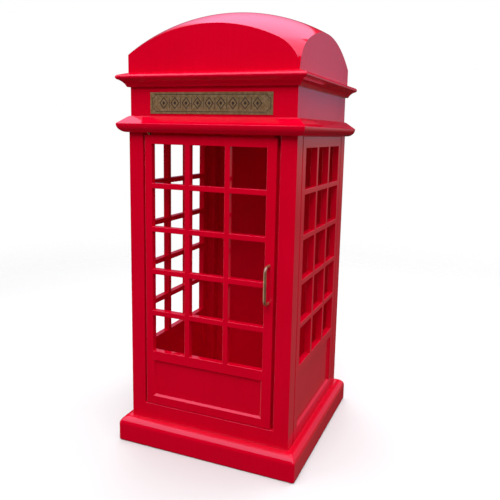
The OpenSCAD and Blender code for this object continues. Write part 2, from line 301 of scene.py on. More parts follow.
def shader_group(name, inputs, outputs):
    """A new node group with its sockets, and its input and output nodes."""
    group = bpy.data.node_groups.new(name, "ShaderNodeTree")
    for label, kind, value in inputs:
        socket = group.interface.new_socket(name=label, in_out="INPUT", socket_type=kind)
        socket.default_value = value
    for label, kind in outputs:
        group.interface.new_socket(name=label, in_out="OUTPUT", socket_type=kind)
    return group, group.nodes.new("NodeGroupInput"), group.nodes.new("NodeGroupOutput")


def noise(tree, scale, detail, stretch=(1, 1, 1), roughness=0.5, distortion=0.0):
    """Noise on Object coordinates. scale is in features per metre."""
    place = tree.nodes.new("ShaderNodeTexCoord")
    mapping = tree.nodes.new("ShaderNodeMapping")
    mapping.inputs["Scale"].default_value = stretch
    texture = tree.nodes.new("ShaderNodeTexNoise")
    texture.inputs["Scale"].default_value = scale
    texture.inputs["Detail"].default_value = detail
    texture.inputs["Roughness"].default_value = roughness
    texture.inputs["Distortion"].default_value = distortion
    tree.links.new(place.outputs["Object"], mapping.inputs["Vector"])
    tree.links.new(mapping.outputs["Vector"], texture.inputs["Vector"])
    return texture.outputs["Fac"]


def spread(tree, value, low, high, to_low, to_high):
    """Maps a value from one range to another, clamped, with soft ends."""
    node = tree.nodes.new("ShaderNodeMapRange")
    node.interpolation_type = "SMOOTHSTEP"
    tree.links.new(value, node.inputs["Value"])
    for label, number in zip(("From Min", "From Max", "To Min", "To Max"), (low, high, to_low, to_high)):
        if isinstance(number, bpy.types.NodeSocket):
            tree.links.new(number, node.inputs[label])
        else:
            node.inputs[label].default_value = number
    return node.outputs["Result"]


def calculate(tree, operation, a, b):
    node = tree.nodes.new("ShaderNodeMath")
    node.operation = operation
    for socket, value in zip(node.inputs, (a, b)):
        if isinstance(value, bpy.types.NodeSocket):
            tree.links.new(value, socket)
        else:
            socket.default_value = value
    return node.outputs["Value"]


def blend_colours(tree, factor, a, b):
    node = tree.nodes.new("ShaderNodeMix")
    node.data_type = "RGBA"
    for label, value in (("Factor", factor), ("A", a), ("B", b)):
        socket = next(s for s in node.inputs if s.name == label and s.enabled)
        if isinstance(value, bpy.types.NodeSocket):
            tree.links.new(value, socket)
        else:
            socket.default_value = value
    return next(s for s in node.outputs if s.enabled)


def bump(tree, height, distance, strength=1.0):
    node = tree.nodes.new("ShaderNodeBump")
    node.inputs["Strength"].default_value = strength
    tree.links.new(height, node.inputs["Height"])
    if isinstance(distance, bpy.types.NodeSocket):
        tree.links.new(distance, node.inputs["Distance"])
    else:
        node.inputs["Distance"].default_value = distance
    return node.outputs["Normal"]


def edge_wear_and_sheen_group():
    """Mask of the arrises, broken up unevenly: rubbed brass on the metal, and on the lacquer partly thin
    film, partly a painted highlight.
    """
    group, given, result = shader_group(
        "Edge wear and sheen",
        [("Amount", "NodeSocketFloat", 0.5), ("Patch size", "NodeSocketFloat", 40.0)],
        [("Mask", "NodeSocketFloat")],
    )
    geometry = group.nodes.new("ShaderNodeNewGeometry")
    rounded = group.nodes.new("ShaderNodeBevel")
    rounded.samples = 4
    rounded.inputs["Radius"].default_value = 0.0015
    turned = group.nodes.new("ShaderNodeVectorMath")
    turned.operation = "DOT_PRODUCT"
    group.links.new(rounded.outputs["Normal"], turned.inputs[0])
    group.links.new(geometry.outputs["Normal"], turned.inputs[1])
    edge = spread(group, turned.outputs["Value"], 0.90, 0.999, 1.0, 0.0)
    patches = noise(group, 40.0, 3.0)
    texture = patches.node
    group.links.new(given.outputs["Patch size"], texture.inputs["Scale"])
    broken = spread(group, patches, 0.38, 0.66, 0.25, 1.0)
    mask = calculate(group, "MULTIPLY", calculate(group, "MULTIPLY", edge, broken), given.outputs["Amount"])
    group.links.new(mask, result.inputs["Mask"])
    return group


def lacquer_film_group():
    """Sprayed film: slight change of depth, orange peel, and the long ripple of rubbed wood."""
    group, given, result = shader_group(
        "Lacquer film",
        [
            ("Colour", "NodeSocketColor", (0.7, 0.0, 0.01, 1)),
            ("Deep colour", "NodeSocketColor", (0.5, 0.0, 0.01, 1)),
            ("Smooth", "NodeSocketFloat", 0.12),
            ("Rough", "NodeSocketFloat", 0.22),
            ("Peel depth", "NodeSocketFloat", 0.00001),
            ("Ripple depth", "NodeSocketFloat", 0.0004),
        ],
        [
            ("Colour", "NodeSocketColor"),
            ("Roughness", "NodeSocketFloat"),
            ("Normal", "NodeSocketVector"),
        ],
    )
    clouds = spread(group, noise(group, 5.0, 2.0), 0.3, 0.7, 0.0, 1.0)
    grain = spread(group, noise(group, 3.0, 3.0, stretch=(40, 40, 2.5)), 0.35, 0.7, 0.0, 0.18)
    depth = calculate(group, "ADD", calculate(group, "MULTIPLY", clouds, 0.4), grain)
    colour = blend_colours(group, depth, given.outputs["Colour"], given.outputs["Deep colour"])
    haze = noise(group, 22.0, 4.0)
    rough = spread(group, haze, 0.3, 0.8, given.outputs["Smooth"], given.outputs["Rough"])
    peel = bump(group, noise(group, 420.0, 1.5), given.outputs["Peel depth"])
    ripple = bump(group, noise(group, 9.0, 1.0), given.outputs["Ripple depth"])
    group.links.new(peel, ripple.node.inputs["Normal"])
    group.links.new(colour, result.inputs["Colour"])
    group.links.new(rough, result.inputs["Roughness"])
    group.links.new(ripple, result.inputs["Normal"])
    return group


def aged_metal_group():
    """Old brass: mottled patina over fine crossed brush lines."""
    group, given, result = shader_group(
        "Aged metal",
        [
            ("Patina", "NodeSocketColor", (0.3, 0.2, 0.1, 1)),
            ("Rubbed", "NodeSocketColor", (0.6, 0.5, 0.3, 1)),
            ("Rubbing", "NodeSocketFloat", 0.4),
            ("Smooth", "NodeSocketFloat", 0.3),
            ("Rough", "NodeSocketFloat", 0.55),
            ("Line depth", "NodeSocketFloat", 0.00004),
        ],
        [
            ("Colour", "NodeSocketColor"),
            ("Roughness", "NodeSocketFloat"),
            ("Normal", "NodeSocketVector"),
        ],
    )
    across = noise(group, 30.0, 3.0, stretch=(1.5, 30, 30))
    along = noise(group, 30.0, 3.0, stretch=(30, 30, 1.5))
    weave = calculate(group, "MULTIPLY", calculate(group, "ADD", across, along), 0.5)
    blotches = spread(group, noise(group, 90.0, 5.0, roughness=0.65), 0.35, 0.68, 0.0, 1.0)
    mixed = calculate(group, "MULTIPLY", calculate(group, "ADD", weave, blotches), 0.5)
    mask = calculate(group, "MULTIPLY", spread(group, mixed, 0.3, 0.75, 0.0, 1.0), given.outputs["Rubbing"])
    colour = blend_colours(group, mask, given.outputs["Patina"], given.outputs["Rubbed"])
    rough = spread(group, mixed, 0.3, 0.8, given.outputs["Rough"], given.outputs["Smooth"])
    normal = bump(group, weave, given.outputs["Line depth"])
    group.links.new(colour, result.inputs["Colour"])
    group.links.new(rough, result.inputs["Roughness"])
    group.links.new(normal, result.inputs["Normal"])
    return group


def wood_grain_group():
    """Sawn softwood with growth rings and fine fibres."""
    group, given, result = shader_group(
        "Wood grain",
        [
            ("Colour", "NodeSocketColor", (0.55, 0.37, 0.2, 1)),
            ("Dark", "NodeSocketColor", (0.3, 0.17, 0.08, 1)),
        ],
        [("Colour", "NodeSocketColor"), ("Roughness", "NodeSocketFloat"), ("Normal", "NodeSocketVector")],
    )
    rings = noise(group, 18.0, 2.0, stretch=(0.6, 6, 6), distortion=1.2)
    bands = group.nodes.new("ShaderNodeMath")
    bands.operation = "PINGPONG"
    bands.inputs[1].default_value = 0.05
    group.links.new(rings, bands.inputs[0])
    ring_mask = spread(group, bands.outputs["Value"], 0.0, 0.05, 0.0, 0.7)
    fibres = noise(group, 60.0, 5.0, stretch=(0.5, 14, 14))
    mask = calculate(group, "MULTIPLY", ring_mask, spread(group, fibres, 0.3, 0.7, 0.5, 1.0))
    colour = blend_colours(group, mask, given.outputs["Colour"], given.outputs["Dark"])
    group.links.new(colour, result.inputs["Colour"])
    group.links.new(spread(group, fibres, 0.3, 0.7, 0.55, 0.8), result.inputs["Roughness"])
    group.links.new(bump(group, fibres, 0.0002), result.inputs["Normal"])
    return group


# ---- Materials -----------------------------------------------------------------------


def opaque(colour):
    return (*colour, 1.0)


def bare_material(name):
    """A material with nodes, its Principled shader and its node tree."""
    material = bpy.data.materials.new(name)
    material.use_nodes = True
    tree = material.node_tree
    shader = next(n for n in tree.nodes if n.type == "BSDF_PRINCIPLED")
    return material, shader, tree


def placed_group(tree, group_name, values):
    """A group node with its inputs set."""
    node = tree.nodes.new("ShaderNodeGroup")
    node.node_tree = bpy.data.node_groups[group_name]
    for label, value in values.items():
        node.inputs[label].default_value = value
    return node


def join_sockets(tree, node, shader, pairs):
    for out, into in pairs.items():
        tree.links.new(node.outputs[out], shader.inputs[into])


def lacquer_material(name, smooth, rough, wear):
    """Red gloss lacquer on wood, lighter along the arrises: partly thin film, partly a painted highlight."""
    material, shader, tree = bare_material(name)
    film = placed_group(
        tree,
        "Lacquer film",
        {
            "Colour": opaque(colours().lacquer),
            "Deep colour": opaque(colours().lacquer_deep),
            "Smooth": smooth,
            "Rough": rough,
            "Peel depth": 0.000006,
            "Ripple depth": 0.0003,
        },
    )
    # The edge mask lightens the lacquer along the arrises: partly thin film, partly a painted highlight.
    thin = placed_group(tree, "Edge wear and sheen", {"Amount": wear, "Patch size": 35.0})
    join_sockets(tree, film, shader, {"Roughness": "Roughness", "Normal": "Normal"})
    bare = opaque(colours().lacquer_thin_and_sheen)
    worn_and_highlit = blend_colours(tree, thin.outputs["Mask"], film.outputs["Colour"], bare)
    tree.links.new(worn_and_highlit, shader.inputs["Base Color"])
    shader.inputs["IOR"].default_value = 1.5
    return material


def brass_material(name, patina, rubbing, smooth, rough, metallic, line_depth, coat):
    """Aged brass, rubbed bright along its edges, with a varnish where it has a coat."""
    material, shader, tree = bare_material(name)
    metal = placed_group(
        tree,
        "Aged metal",
        {
            "Patina": opaque(patina),
            "Rubbed": opaque(colours().brass_rubbed),
            "Rubbing": rubbing,
            "Smooth": smooth,
            "Rough": rough,
            "Line depth": line_depth,
        },
    )
    wear = placed_group(tree, "Edge wear and sheen", {"Amount": 0.8, "Patch size": 120.0})
    rubbed = opaque(colours().brass_rubbed)
    bright = blend_colours(tree, wear.outputs["Mask"], metal.outputs["Colour"], rubbed)
    tree.links.new(bright, shader.inputs["Base Color"])
    join_sockets(tree, metal, shader, {"Roughness": "Roughness", "Normal": "Normal"})
    shader.inputs["Metallic"].default_value = metallic
    shader.inputs["Coat Weight"].default_value = coat
    shader.inputs["Coat Roughness"].default_value = 0.03
    return material


def steel_material(name, colour, smooth, rough):
    material, shader, tree = bare_material(name)
    metal = placed_group(
        tree,
        "Aged metal",
        {
            "Patina": opaque([0.7 * c for c in colour]),
            "Rubbed": opaque(colour),
            "Rubbing": 1.0,
            "Smooth": smooth,
            "Rough": rough,
            "Line depth": 0.00001,
        },
    )
    join_sockets(tree, metal, shader, {"Colour": "Base Color", "Roughness": "Roughness", "Normal": "Normal"})
    shader.inputs["Metallic"].default_value = 1.0
    return material


def wood_material(name):
    material, shader, tree = bare_material(name)
    dark = [0.5 * c for c in colours().softwood]
    grain = placed_group(tree, "Wood grain", {"Colour": opaque(colours().softwood), "Dark": opaque(dark)})
    join_sockets(tree, grain, shader, {"Colour": "Base Color", "Roughness": "Roughness", "Normal": "Normal"})
    return material


def engraving_material(name):
    """Dark wax in the engraved lines, with specks of metal showing."""
    material, shader, tree = bare_material(name)
    specks = spread(tree, noise(tree, 700.0, 3.0), 0.55, 0.75, 0.0, 0.5)
    colour = blend_colours(tree, specks, opaque(colours().engraving), opaque(colours().brass))
    tree.links.new(colour, shader.inputs["Base Color"])
    tree.links.new(spread(tree, specks, 0.0, 0.5, 0.75, 0.4), shader.inputs["Roughness"])
    return material


# ---- Shaping tools -------------------------------------------------------------------


def everything(bm):
    return bm.verts[:] + bm.edges[:] + bm.faces[:]


def block(low, high):
    """A box between two corners."""
    low, high = Vector(low), Vector(high)
    bm = bmesh.new()
    bmesh.ops.create_cube(bm, size=1.0)
    bmesh.ops.scale(bm, vec=high - low, verts=bm.verts)
    bmesh.ops.translate(bm, vec=(low + high) / 2, verts=bm.verts)
    return bm


def score(bm, point, across):
    """Divides faces along a plane and removes nothing."""
    bmesh.ops.bisect_plane(bm, geom=everything(bm), dist=WELD, plane_co=point, plane_no=across)


def saw(bm, point, outward):
    """Takes away what lies beyond a plane and closes the cut."""
    made = bmesh.ops.bisect_plane(
        bm, geom=everything(bm), dist=WELD, plane_co=point, plane_no=outward, clear_outer=True
    )
    cut = [g for g in made["geom_cut"] if isinstance(g, bmesh.types.BMEdge) and g.is_boundary]
    bmesh.ops.holes_fill(bm, edges=cut, sides=0)


def sharp_edges(bm, wanted=lambda edge: True):
    return [
        e for e in bm.edges if len(e.link_faces) == 2 and e.calc_face_angle(0) > SHARP and wanted(e)
    ]


def ease(bm, edges, radius, segments=3):
    """Rounds edges."""
    bmesh.ops.bevel(
        bm,
        geom=edges,
        offset=radius,
        offset_type="OFFSET",
        affect="EDGES",
        segments=segments,
        profile=0.5,
        material=-1,
        clamp_overlap=True,
    )


def joined(parts):
    """Several bmeshes as one. The parts are used up."""
    whole = bmesh.new()
    for part in parts:
        mesh = bpy.data.meshes.new("part")
        part.to_mesh(mesh)
        part.free()
        whole.from_mesh(mesh)
        bpy.data.meshes.remove(mesh)
    return whole


def arc(centre, radius, start, end, steps):
    """Points of an arc in a plane, angles in degrees."""
    turns = [math.radians(start + (end - start) * i / steps) for i in range(steps + 1)]
    return [(centre[0] + radius * math.cos(t), centre[1] + radius * math.sin(t)) for t in turns]


def finish_piece(name, bm, nodes, material="Red lacquer", weighted=True):
    """Makes an object that rides on the CAD nodes' body and stands for them."""
    name = name.replace(" ", "_")
    bmesh.ops.recalc_face_normals(bm, faces=bm.faces)
    for face in bm.faces:
        face.smooth = True
    mesh = bpy.data.meshes.new(name)
    bm.to_mesh(mesh)
    bm.free()
    mesh.set_sharp_from_angle(angle=CREASE)
    mesh.materials.append(bpy.data.materials[material])
    piece = bpy.data.objects.new(name, mesh)
    bpy.context.scene.collection.objects.link(piece)
    if weighted:
        shading = piece.modifiers.new("Flat faces", "WEIGHTED_NORMAL")
        shading.keep_sharp = True
    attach(piece, frame["nodes"][nodes[0]]["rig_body"])
    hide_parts(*nodes)
    return piece


def front_face():
    """Where the faces of the front posts lie."""
    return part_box("post_front_left")[0].y


def half_width():
    """From the middle of the booth to the faces of its posts."""
    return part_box("post_back_right")[1].x


def side_place(side):
    """Turns a side's own coordinates, face at y = 0 and outwards -Y, into the booth's."""
    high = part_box("post_back_right")[1]
    reach = high.y if side % 2 == 0 else high.x
    return Matrix.Rotation(math.radians(90 * side), 4, "Z") @ Matrix.Translation((0, -reach, 0))


def side_box(node, place):
    """A CAD node's corners in one side's own coordinates."""
    back = place.inverted()
    a, b = (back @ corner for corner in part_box(node))
    return Vector(map(min, a, b)), Vector(map(max, a, b))


# ---- Framed leaves: the door and the side windows ------------------------------------


class Leaf:
    """One framed leaf, measured from its CAD nodes, in its side's own coordinates."""

    bead_round = 0.0015
    margin = 1e-4

    def __init__(self, side, stiles, uprights, bars, panel):
        self.place = side_place(side)
        boxes = [side_box(node, self.place) for node in stiles]
        self.low = Vector(map(min, zip(*(b[0] for b in boxes))))
        self.high = Vector(map(max, zip(*(b[1] for b in boxes))))
        upright_low, upright_high = side_box(uprights, self.place)
        bar_low, bar_high = side_box(bars, self.place)
        self.panel_low, self.panel_high = side_box(panel, self.place)
        columns, rows = sizes().columns, sizes().rows
        self.left, self.right = bar_low.x, bar_high.x
        self.bottom, self.top = upright_low.z, upright_high.z
        pane_w = upright_low.x - self.left
        pane_h = bar_low.z - self.bottom
        bar_w = (self.right - self.left - columns * pane_w) / (columns - 1)
        bar_h = (self.top - self.bottom - rows * pane_h) / (rows - 1)
        self.pane_x = [
            (self.left + c * (pane_w + bar_w), self.left + c * (pane_w + bar_w) + pane_w)
            for c in range(columns)
        ]
        self.pane_z = [
            (self.bottom + r * (pane_h + bar_h), self.bottom + r * (pane_h + bar_h) + pane_h)
            for r in range(rows)
        ]

    def holes(self):
        """Every opening as (left, right, bottom, top), the lower panel's first."""
        panel = (self.panel_low.x, self.panel_high.x, self.panel_low.z, self.panel_high.z)
        return [panel] + [(*x, *z) for x in self.pane_x for z in self.pane_z]

    def flush_frame(self, low, high):
        """The whole frame in one, its openings cut through and its arrises eased."""
        bm = block(low, high)
        holes = self.holes()
        for x in sorted({x for hole in holes for x in hole[:2]}):
            score(bm, (x, 0, 0), (1, 0, 0))
        for z in sorted({z for hole in holes for z in hole[2:]}):
            score(bm, (0, 0, z), (0, 0, 1))
        for left, right, bottom, top in holes:
            loose = []
            for y in (low.y, high.y):
                faces = [
                    f
                    for f in bm.faces
                    if abs(f.calc_center_median().y - y) < NEAR
                    and left < f.calc_center_median().x < right
                    and bottom < f.calc_center_median().z < top
                ]
                rim = {e for f in faces for e in f.edges if sum(g in faces for g in e.link_faces) == 1}
                bmesh.ops.delete(bm, geom=faces, context="FACES")
                loose += [e for e in rim if e.is_valid]
            bmesh.ops.bridge_loops(bm, edges=loose)
        panel = holes[0]

        def off_panel(edge):
            centre = (edge.verts[0].co + edge.verts[1].co) / 2
            inside = panel[0] - self.margin < centre.x < panel[1] + self.margin
            return not (inside and panel[2] - self.margin < centre.z < panel[3] + self.margin)

        ease(bm, sharp_edges(bm, off_panel), sizes().arris)
        return bm

    def parted(self, whole, regions):
        """What a flush frame has within each region (left, right, bottom, top), as one."""
        parts = []
        for left, right, bottom, top in regions:
            part = whole.copy()
            saw(part, (left, 0, 0), (-1, 0, 0))
            saw(part, (right, 0, 0), (1, 0, 0))
            saw(part, (0, 0, bottom), (0, 0, -1))
            saw(part, (0, 0, top), (0, 0, 1))
            parts.append(part)
        return joined(parts)

    def stile_regions(self):
        return [
            (self.low.x - BEYOND, self.left, self.low.z - BEYOND, self.high.z + BEYOND),
            (self.right, self.high.x + BEYOND, self.low.z - BEYOND, self.high.z + BEYOND),
        ]

    def rail_regions(self):
        return [
            (self.left, self.right, self.low.z - BEYOND, self.panel_low.z),
            (self.left, self.right, self.panel_high.z, self.bottom),
            (self.left, self.right, self.top, self.high.z + BEYOND),
        ]

    def upright_regions(self):
        gaps = zip(self.pane_x, self.pane_x[1:])
        return [(a[1], b[0], self.bottom, self.top) for a, b in gaps]

    def bar_regions(self):
        gaps = list(zip(self.pane_z, self.pane_z[1:]))
        return [(*x, a[1], b[0]) for x in self.pane_x for a, b in gaps]

    def panel(self):
        """The lower panel, its edges sloping forward to the face of the frame."""
        bm = block(self.panel_low, self.panel_high)
        face = min(bm.faces, key=lambda f: f.calc_center_median().y)
        bmesh.ops.inset_region(bm, faces=[face], thickness=sizes().bead)
        bmesh.ops.translate(bm, vec=(0, sizes().panel_recess, 0), verts=face.verts)
        ease(bm, face.edges[:], self.bead_round)
        return bm

    def finish(self, name, bm, nodes):
        bmesh.ops.transform(bm, matrix=self.place, verts=bm.verts)
        return finish_piece(name, bm, nodes)


class BOOTH_OT_door(bpy.types.Operator):
    """Door frame, glazing bars and lower panel"""

    bl_idname = "booth.door"
    bl_label = "Door"

    def execute(self, context):
        leaf = Leaf(0, ["door_hinge_stile", "door_lock_stile"], "door_uprights", "door_bars", "door_panel")
        whole = leaf.flush_frame(leaf.low, leaf.high)
        hinge_side, lock_side = leaf.stile_regions()
        bottom, middle, top = leaf.rail_regions()
        for name, node, regions in (
            ("Door hinge stile", "door_hinge_stile", [hinge_side]),
            ("Door lock stile", "door_lock_stile", [lock_side]),
            ("Door bottom rail", "door_bottom_rail", [bottom]),
            ("Door middle rail", "door_mid_rail", [middle]),
            ("Door top rail", "door_top_rail", [top]),
            ("Door upright bars", "door_uprights", leaf.upright_regions()),
            ("Door cross bars", "door_bars", leaf.bar_regions()),
        ):
            leaf.finish(name, leaf.parted(whole, regions), [node])
        whole.free()
        leaf.finish("Door panel", leaf.panel(), ["door_panel"])
        return {"FINISHED"}


class BOOTH_OT_windows(bpy.types.Operator):
    """Side frames with their glazing bars and lower panels"""

    bl_idname = "booth.windows"
    bl_label = "Side windows"

    def execute(self, context):
        for side in (1, 3):
            word = SIDES[side]
            stiles, rails, uprights, bars, panel = (
                "%s_window_%s" % (word, part) for part in ("stiles", "rails", "uprights", "bars", "panel")
            )
            leaf = Leaf(side, [stiles], uprights, bars, panel)
            groove = Vector((sizes().groove, 0, 0))
            whole = leaf.flush_frame(leaf.low + groove, leaf.high - groove)
            lips = [
                block((leaf.low.x, groove.x, leaf.low.z), (leaf.low.x + groove.x, leaf.high.y, leaf.high.z)),
                block((leaf.high.x - groove.x, groove.x, leaf.low.z), leaf.high),
            ]
            stile_mesh = joined([leaf.parted(whole, leaf.stile_regions())] + lips)
            title = word.capitalize() + " window "
            leaf.finish(title + "stiles", stile_mesh, [stiles])
            leaf.finish(title + "rails", leaf.parted(whole, leaf.rail_regions()), [rails])
            leaf.finish(title + "upright bars", leaf.parted(whole, leaf.upright_regions()), [uprights])
            leaf.finish(title + "cross bars", leaf.parted(whole, leaf.bar_regions()), [bars])
            leaf.finish(title + "panel", leaf.panel(), [panel])
            whole.free()
        return {"FINISHED"}


# ---- Mitred mouldings ----------------------------------------------------------------


def plinth_profile():
    """Points out from the body's face and up from the floor."""
    low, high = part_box("plinth_front")
    over, top = front_face() - low.y, high.z
    r, foot = sizes().plinth_round, sizes().plinth_corner
    return (
        [(0, top)]
        + arc((over - r, top - r), r, 90, 0, 14)
        + arc((over - foot, foot), foot, 0, -90, 5)
        + [(0, 0)]
    )


def moulding_profile():
    low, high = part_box("moulding_front")
    inner, over = front_face() - high.y, front_face() - low.y
    r = sizes().moulding_round
    lip = over - r
    flat = 0.002  # upright strip over the round
    step = 0.001  # where the slope on top ends, out from the face and down from the top
    return (
        [(inner, low.z)]
        + arc((lip, low.z + r), r, -90, 0, 14)
        + [(over, low.z + r + flat), (step, high.z - step), (inner, high.z)]
    )


def cornice_profile():
    low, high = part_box("cornice_front")
    inner, over = front_face() - high.y, front_face() - low.y
    lip, nose, cove = 0.0035, sizes().nose, sizes().cove
    step = 0.001  # height of the lip's edge
    lift = 0.0005  # the nose's centre is this much nearer the top than the nose's width
    bow = 0.94  # share of the hollow's radius from its centre to its chord
    nose_x = over - nose
    nose_z = high.z - 2 * nose + lift
    start, end = Vector((lip, low.z + step)), Vector((nose_x, nose_z - nose))
    chord = end - start
    aside = Vector((chord.y, -chord.x)).normalized()
    centre = (start + end) / 2 + aside * bow * cove
    half_turn = math.degrees(math.acos(bow))
    facing = math.degrees(math.atan2(-aside.y, -aside.x))
    hollow = arc(centre, cove, facing + half_turn, facing - half_turn, 10)
    return (
        [(inner, low.z), (lip, low.z), tuple(start)]
        + hollow
        + arc((nose_x, nose_z), nose, -90, 80, 14)
        + [(0, high.z), (inner, high.z)]
    )


def frieze_profile():
    low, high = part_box("frieze_front")
    face = front_face()
    return [(face - high.y, low.z), (face - low.y, low.z), (face - low.y, high.z), (face - high.y, high.z)]


def mitred_ring(profile, corner, arris):
    """A closed profile carried round the booth, with its long edges and corners eased."""
    half = half_width()
    bm = bmesh.new()
    points = [bm.verts.new((half + out, -half - out, z)) for out, z in profile]
    edges = [bm.edges.new(pair) for pair in zip(points, points[1:] + points[:1])]
    bmesh.ops.spin(
        bm, geom=points + edges, cent=(0, 0, 0), axis=UP, angle=math.tau, steps=4, use_merge=True
    )
    bmesh.ops.recalc_face_normals(bm, faces=bm.faces)

    def at_one_corner(edge):
        a, b = (v.co for v in edge.verts)
        return a.x * b.x > 0 and a.y * b.y > 0

    ease(bm, sharp_edges(bm, lambda e: not at_one_corner(e)), arris, 2)
    ease(bm, [e for e in bm.edges if at_one_corner(e)], corner, 4)
    return bm


def mitred_boards(stem, profile, corner, arris):
    """One piece for each side, cut from a ring on the mitres."""
    half = half_width()
    ring = mitred_ring(profile, corner, arris)
    for side, word in enumerate(SIDES):
        turn = Matrix.Rotation(math.radians(90 * side), 3, "Z")
        board = ring.copy()
        saw(board, turn @ Vector((half, -half, 0)), turn @ Vector((1, 1, 0)))
        saw(board, turn @ Vector((-half, -half, 0)), turn @ Vector((-1, 1, 0)))
        caps = [f for f in board.faces if abs(abs(f.normal.x) - abs(f.normal.y)) < 1e-3 and len(f.verts) > 4]
        rims = {e for f in caps for e in f.edges}
        ease(board, [e for e in rims if e.calc_face_angle(0) > SHARP], sizes().hairline, 1)
        finish_piece("%s %s" % (stem.capitalize(), word), board, ["%s_%s" % (stem, word)])
    ring.free()


class BOOTH_OT_plinth(bpy.types.Operator):
    """Four moulded plinth boards"""

    bl_idname = "booth.plinth"
    bl_label = "Plinth"

    def execute(self, context):
        mitred_boards("plinth", plinth_profile(), corner=sizes().plinth_corner, arris=0.0008)
        return {"FINISHED"}


class BOOTH_OT_mouldings(bpy.types.Operator):
    """Lower moulding, frieze and cornice"""

    bl_idname = "booth.mouldings"
    bl_label = "Mouldings and frieze"

    def execute(self, context):
        mitred_boards("moulding", moulding_profile(), corner=0.0006, arris=0.0006)
        mitred_boards("frieze", frieze_profile(), corner=0.0012, arris=0.0006)
        mitred_boards("cornice", cornice_profile(), corner=0.0006, arris=0.0005)
        return {"FINISHED"}


# ---- Posts and boards ----------------------------------------------------------------


class BOOTH_OT_posts(bpy.types.Operator):
    """Corner posts and the rail under the door, flush with each other in front"""

    bl_idname = "booth.posts"
    bl_label = "Posts and sill"

    def execute(self, context):
        sill_low, sill_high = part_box("sill_rail")
        for word in ("front_left", "front_right", "back_left", "back_right"):
            low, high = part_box("post_" + word)
            foot = block(low, (high.x, high.y, sill_high.z))
            rest = block((low.x, low.y, sill_high.z), high)
            inner = low.x if low.x > 0 else high.x

            def beside_sill(edge):
                centre = (edge.verts[0].co + edge.verts[1].co) / 2
                return abs(centre.x - inner) < NEAR and centre.y < 0

            ease(foot, self.uprights(foot, lambda e: not beside_sill(e)), sizes().arris)
            ease(rest, self.uprights(rest), sizes().arris)
            title = "Post " + word.replace("_", " ")
            finish_piece(title, joined([foot, rest]), ["post_" + word])
        bm = block(sill_low, sill_high)
        top = [e for e in bm.edges if all(v.co.z > sill_high.z - NEAR for v in e.verts)]
        long_edges = [e for e in top if abs(e.verts[0].co.y - e.verts[1].co.y) < NEAR]
        ease(bm, long_edges, sizes().arris)
        finish_piece("Sill rail", bm, ["sill_rail"])
        return {"FINISHED"}

    def uprights(self, bm, wanted=lambda edge: True):
        return [
            e for e in bm.edges if abs((e.verts[0].co - e.verts[1].co).normalized().z) > 0.9 and wanted(e)
        ]


class BOOTH_OT_boards(bpy.types.Operator):
    """Back panel and door stop"""

    bl_idname = "booth.boards"
    bl_label = "Back and door stop"

    def execute(self, context):
        for title, node, slot in (
            ("Back panel", "back_panel", "lacquer"),
            ("Door stop", "door_stop", "inside_lacquer"),
        ):
            bm = block(*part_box(node))
            ease(bm, sharp_edges(bm), sizes().hairline * 2, 2)
            finish_piece(title, bm, [node])
        return {"FINISHED"}


# ---- Roof ----------------------------------------------------------------------------


class Roof:
    """The part of a sphere that covers the booth, and the ring that eases one corner."""

    thin = 0.0008  # the least thickness left where the easing cuts in

    def __init__(self):
        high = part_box("roof_dome")[1]
        rise = sizes().arch_rise
        self.half = high.x
        drop = (self.half**2 - rise**2) / (2 * rise)
        self.corner = math.hypot(self.half, self.half)
        self.radius = math.hypot(self.corner, drop)
        self.centre = high.z - self.radius
        self.shell = sizes().roof_shell
        self.ease = sizes().roof_ease
        self.ring = self.corner - self.ease
        self.ring_z = self.centre + math.sqrt((self.radius - self.ease) ** 2 - self.ring**2)
        self.ease_start = self.radius * self.ring / (self.radius - self.ease)

    def dome_z(self, out, radius):
        return self.centre + math.sqrt(radius**2 - out**2)

    def eased_z(self, out):
        return self.ring_z + math.sqrt(max(self.ease**2 - (out - self.ring) ** 2, 0))

    def board_top(self, x, y):
        """Top of a roof board under the shell, on the booth's face."""
        out = math.hypot(x, y)
        height = self.dome_z(out, self.radius - self.shell)
        if x > 0 > y and out > self.ease_start:
            height = min(height, self.eased_z(out) - self.thin)
        return height

    def top(self, x, y):
        """Top of the shell over a point of the plan."""
        out = math.hypot(x, y)
        height = self.dome_z(out, self.radius)
        if x > 0 > y and out > self.ease_start:
            height = self.eased_z(out)
        return height

    def underside(self, x, y):
        """Underside of the shell over a point of the plan."""
        height = self.dome_z(math.hypot(x, y), self.radius - self.shell)
        return min(height, self.top(x, y) - self.thin)


